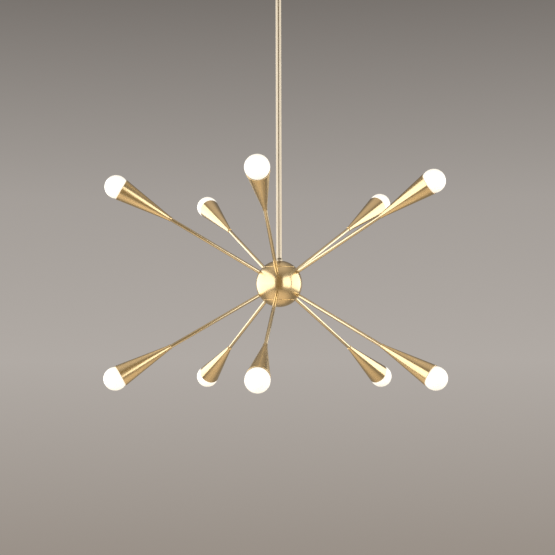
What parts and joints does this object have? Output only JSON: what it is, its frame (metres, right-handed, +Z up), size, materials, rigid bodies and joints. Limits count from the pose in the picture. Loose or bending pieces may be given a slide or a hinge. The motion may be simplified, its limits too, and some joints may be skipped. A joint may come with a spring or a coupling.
{
  "type": "sputnik chandelier",
  "caption": "Ceiling chandelier: a ball hub on a slim stem carries two tiers of straight arms that end in slender cones with opal globe bulbs.",
  "frame": {"origin": "centre of the ceiling plane, in the middle of the crossbar's top face and the canopy's rim", "axes": "+Z up out of the ceiling face, the light hangs towards -Z; the first arm of each tier points along -Y; the crossbar and the swivel's pivot lie along X"},
  "size_m": [0.7188, 0.6861, 0.9579],
  "materials": {
    "satin_brass": "satin brushed and lacquered",
    "zinc_steel": "zinc plated",
    "green_steel": "green passivated",
    "opal_glass": "opal white, lit",
    "socket_resin": "moulded phenolic",
    "wire_jacket": "smooth gold-tinted vinyl",
    "splice_nylon": "crimped nylon"
  },
  "bodies": {
    "ceiling_mount": {"crossbar": "zinc_steel", "ground_screw": "green_steel", "canopy_screws": "zinc_steel", "canopy": "satin_brass", "canopy_nuts": "satin_brass", "swivel_stud": "satin_brass", "swivel_nut": "zinc_steel"},
    "swivel": {"swivel_yoke": "satin_brass", "swivel_screws": "satin_brass"},
    "pendant": {"swivel_tongue": "satin_brass", "stem": "satin_brass", "stem_nut": "satin_brass", "hub_top_cap": "satin_brass", "hub_body": "satin_brass", "hub_bottom_cap": "satin_brass", "arm_nuts": "satin_brass", "cone_nuts": "satin_brass", "arm_leads": "wire_jacket", "hub_splices": "splice_nylon", "supply_cable": "wire_jacket", "upper_arm_1": "satin_brass", "upper_cone_1": "satin_brass", "upper_socket_1": "socket_resin", "upper_arm_2": "satin_brass", "upper_cone_2": "satin_brass", "upper_socket_2": "socket_resin", "upper_arm_3": "satin_brass", "upper_cone_3": "satin_brass", "upper_socket_3": "socket_resin", "upper_arm_4": "satin_brass", "upper_cone_4": "satin_brass", "upper_socket_4": "socket_resin", "upper_arm_5": "satin_brass", "upper_cone_5": "satin_brass", "upper_socket_5": "socket_resin", "lower_arm_1": "satin_brass", "lower_cone_1": "satin_brass", "lower_socket_1": "socket_resin", "lower_arm_2": "satin_brass", "lower_cone_2": "satin_brass", "lower_socket_2": "socket_resin", "lower_arm_3": "satin_brass", "lower_cone_3": "satin_brass", "lower_socket_3": "socket_resin", "lower_arm_4": "satin_brass", "lower_cone_4": "satin_brass", "lower_socket_4": "socket_resin", "lower_arm_5": "satin_brass", "lower_cone_5": "satin_brass", "lower_socket_5": "socket_resin"},
    "upper_bulb_1": {"upper_bulb_1": "opal_glass"},
    "upper_bulb_2": {"upper_bulb_2": "opal_glass"},
    "upper_bulb_3": {"upper_bulb_3": "opal_glass"},
    "upper_bulb_4": {"upper_bulb_4": "opal_glass"},
    "upper_bulb_5": {"upper_bulb_5": "opal_glass"},
    "lower_bulb_1": {"lower_bulb_1": "opal_glass"},
    "lower_bulb_2": {"lower_bulb_2": "opal_glass"},
    "lower_bulb_3": {"lower_bulb_3": "opal_glass"},
    "lower_bulb_4": {"lower_bulb_4": "opal_glass"},
    "lower_bulb_5": {"lower_bulb_5": "opal_glass"}
  },
  "joints": [
    {"name": "swivel_turn", "type": "hinge", "parent": "ceiling_mount", "child": "swivel", "pos_m": [0, 0, -0.044], "axis": [0, 0, 1], "range_deg": [-170, 170]},
    {"name": "swivel_tilt", "type": "hinge", "parent": "swivel", "child": "pendant", "pos_m": [0, 0, -0.056], "axis": [1, 0, 0], "range_deg": [-45, 45], "deforming": ["supply_cable"]},
    {"name": "upper_bulb_1_draw", "type": "slide", "parent": "pendant", "child": "upper_bulb_1", "axis": [0, -0.866, 0.5], "range_m": [0, 0.045]},
    {"name": "upper_bulb_2_draw", "type": "slide", "parent": "pendant", "child": "upper_bulb_2", "axis": [0.8236, -0.2676, 0.5], "range_m": [0, 0.045]},
    {"name": "upper_bulb_3_draw", "type": "slide", "parent": "pendant", "child": "upper_bulb_3", "axis": [0.509, 0.7006, 0.5], "range_m": [0, 0.045]},
    {"name": "upper_bulb_4_draw", "type": "slide", "parent": "pendant", "child": "upper_bulb_4", "axis": [-0.509, 0.7006, 0.5], "range_m": [0, 0.045]},
    {"name": "upper_bulb_5_draw", "type": "slide", "parent": "pendant", "child": "upper_bulb_5", "axis": [-0.8236, -0.2676, 0.5], "range_m": [0, 0.045]},
    {"name": "lower_bulb_1_draw", "type": "slide", "parent": "pendant", "child": "lower_bulb_1", "axis": [0, -0.866, -0.5], "range_m": [0, 0.045]},
    {"name": "lower_bulb_2_draw", "type": "slide", "parent": "pendant", "child": "lower_bulb_2", "axis": [0.8236, -0.2676, -0.5], "range_m": [0, 0.045]},
    {"name": "lower_bulb_3_draw", "type": "slide", "parent": "pendant", "child": "lower_bulb_3", "axis": [0.509, 0.7006, -0.5], "range_m": [0, 0.045]},
    {"name": "lower_bulb_4_draw", "type": "slide", "parent": "pendant", "child": "lower_bulb_4", "axis": [-0.509, 0.7006, -0.5], "range_m": [0, 0.045]},
    {"name": "lower_bulb_5_draw", "type": "slide", "parent": "pendant", "child": "lower_bulb_5", "axis": [-0.8236, -0.2676, -0.5], "range_m": [0, 0.045]}
  ]
}
